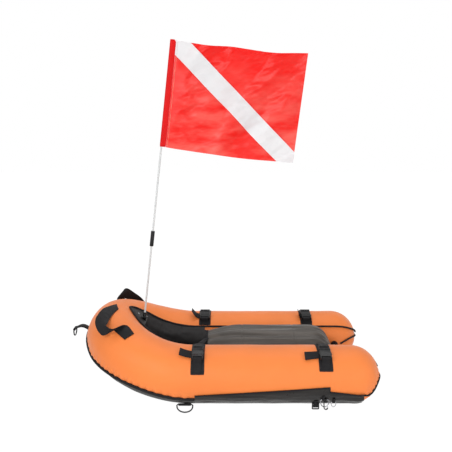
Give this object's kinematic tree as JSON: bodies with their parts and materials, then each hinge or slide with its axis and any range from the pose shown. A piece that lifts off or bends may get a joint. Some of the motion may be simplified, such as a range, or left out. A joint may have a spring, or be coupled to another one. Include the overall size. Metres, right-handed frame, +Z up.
{
  "type": "spearfishing board float",
  "caption": "Inflatable U-shaped surface float for divers, with a covered hold between its tubes, webbing side-release straps, carry handles, rings and a mast with a diver-down flag.",
  "frame": {"origin": "Middle of the whole assembly's box in X and Y, at the height of its lowest point, which is the free-hanging front ring below the port tube.", "axes": "-X is the bow, +X the open stern, -Y the port side that the picture shows, +Z up towards the flag."},
  "size_m": [0.953, 0.4848, 1.0882],
  "materials": {
    "black_cloth": "matte",
    "black_plastic": "satin",
    "black_webbing": "matte",
    "bladder_film": "gloss",
    "bright_steel": "polished",
    "dark_steel": "gloss",
    "grey_cloth": "satin",
    "orange_cloth": "satin",
    "red_cloth": "satin",
    "white_cloth": "satin",
    "white_rod": "gloss"
  },
  "bodies": {
    "hull": {"hull_cover": "orange_cloth", "air_bladder": "bladder_film", "valve_body": "black_plastic", "bottom_panel": "grey_cloth", "floor_panel": "grey_cloth", "port_skirt": "grey_cloth", "starboard_skirt": "grey_cloth", "port_stern_piping": "black_cloth", "starboard_stern_piping": "black_cloth", "port_handle": "black_webbing", "starboard_handle": "black_webbing", "well_liner": "black_cloth", "rim_piping": "black_cloth", "bow_piping": "black_cloth", "deck_cover": "grey_cloth", "deck_binding": "black_webbing", "port_front_patch": "black_cloth", "port_front_anchor": "black_webbing", "port_front_female": "black_plastic", "port_rear_patch": "black_cloth", "port_rear_anchor": "black_webbing", "port_rear_female": "black_plastic", "starboard_front_patch": "black_cloth", "starboard_front_anchor": "black_webbing", "starboard_front_female": "black_plastic", "starboard_rear_patch": "black_cloth", "starboard_rear_anchor": "black_webbing", "starboard_rear_female": "black_plastic", "front_ring_keeper": "black_webbing", "slider_keeper": "black_webbing", "rear_ring_keeper": "black_webbing", "end_ring_keeper": "black_webbing", "tow_tab": "black_webbing", "mast_socket": "black_plastic", "mast_panel": "black_cloth", "panel_eyelet": "bright_steel"},
    "valve_lid": {"valve_cap": "black_plastic"},
    "mast_low": {"lower_mast": "white_rod", "mast_ferrule": "black_plastic"},
    "mast_high": {"upper_mast": "white_rod", "mast_cap": "black_plastic"},
    "flag": {"flag_upper_panel": "red_cloth", "flag_stripe": "white_cloth", "flag_lower_panel": "red_cloth", "flag_sleeve": "red_cloth"},
    "front_d_ring": {"front_ring": "dark_steel"},
    "rear_d_ring": {"rear_ring": "bright_steel"},
    "clip_hook": {"snap_clip": "black_plastic"},
    "clip_gate": {"snap_gate": "bright_steel"},
    "end_d_ring": {"end_ring": "bright_steel"},
    "slider": {"strap_slider": "black_plastic"},
    "tow_d_ring": {"tow_ring": "dark_steel"},
    "port_front_buckle": {"port_front_male": "black_plastic", "port_front_strap": "black_webbing"},
    "port_rear_buckle": {"port_rear_male": "black_plastic", "port_rear_strap": "black_webbing"},
    "starboard_front_buckle": {"starboard_front_male": "black_plastic", "starboard_front_strap": "black_webbing"},
    "starboard_rear_buckle": {"starboard_rear_male": "black_plastic", "starboard_rear_strap": "black_webbing"}
  },
  "joints": [
    {"name": "valve_cap_pull", "type": "slide", "parent": "hull", "child": "valve_lid", "axis": [0, -1, 0], "range_m": [0, 0.01]},
    {"name": "mast_lift", "type": "slide", "parent": "hull", "child": "mast_low", "axis": [0.1191, 0, 0.9929], "range_m": [0, 0.03]},
    {"name": "mast_split", "type": "slide", "parent": "mast_low", "child": "mast_high", "axis": [0.1191, 0, 0.9929], "range_m": [0, 0.024]},
    {"name": "flag_swing", "type": "hinge", "parent": "mast_high", "child": "flag", "pos_m": [-0.2444, 0, 0.24291], "axis": [0.1191, 0, 0.9929], "continuous": true},
    {"name": "front_ring_swing", "type": "hinge", "parent": "hull", "child": "front_d_ring", "pos_m": [-0.10384, -0.19876, 0.0271], "axis": [1, 0, 0], "range_deg": [-110, 60]},
    {"name": "rear_ring_swing", "type": "hinge", "parent": "hull", "child": "rear_d_ring", "pos_m": [0.3009, -0.23328, 0.05946], "axis": [1, 0, 0], "range_deg": [-70, 30]},
    {"name": "clip_swing", "type": "hinge", "parent": "rear_d_ring", "child": "clip_hook", "pos_m": [0.3037, -0.23328, 0.05946], "axis": [1, 0, 0], "range_deg": [-50, 0]},
    {"name": "gate_swing", "type": "hinge", "parent": "clip_hook", "child": "clip_gate", "pos_m": [0.3091, -0.23814, 0.03842], "axis": [0, -0.9744, 0.225], "range_deg": [0, 13], "stiffness_Nm_per_rad": 0.02, "springref_deg": -8.59},
    {"name": "end_ring_swing", "type": "hinge", "parent": "hull", "child": "end_d_ring", "pos_m": [0.3279, -0.22643, 0.04907], "axis": [1, 0, 0], "range_deg": [-100, 45]},
    {"name": "slider_swing", "type": "hinge", "parent": "hull", "child": "slider", "pos_m": [0.2774, -0.21896, 0.04114], "axis": [1, 0, 0], "range_deg": [-85, 50]},
    {"name": "tow_ring_swing", "type": "hinge", "parent": "hull", "child": "tow_d_ring", "pos_m": [-0.4723, 0, 0.18788], "axis": [0, 1, 0], "range_deg": [-100, 160]},
    {"name": "port_front_release", "type": "slide", "parent": "hull", "child": "port_front_buckle", "axis": [0, 0.9239, 0.3827], "range_m": [0, 0.027], "deforming": ["port_front_strap"]},
    {"name": "port_rear_release", "type": "slide", "parent": "hull", "child": "port_rear_buckle", "axis": [0, 0.9239, 0.3827], "range_m": [0, 0.027], "deforming": ["port_rear_strap"]},
    {"name": "starboard_front_release", "type": "slide", "parent": "hull", "child": "starboard_front_buckle", "axis": [0, 0.9613, 0.2756], "range_m": [0, 0.027], "deforming": ["starboard_front_strap"]},
    {"name": "starboard_rear_release", "type": "slide", "parent": "hull", "child": "starboard_rear_buckle", "axis": [0, 0.9613, 0.2756], "range_m": [0, 0.027], "deforming": ["starboard_rear_strap"]}
  ]
}
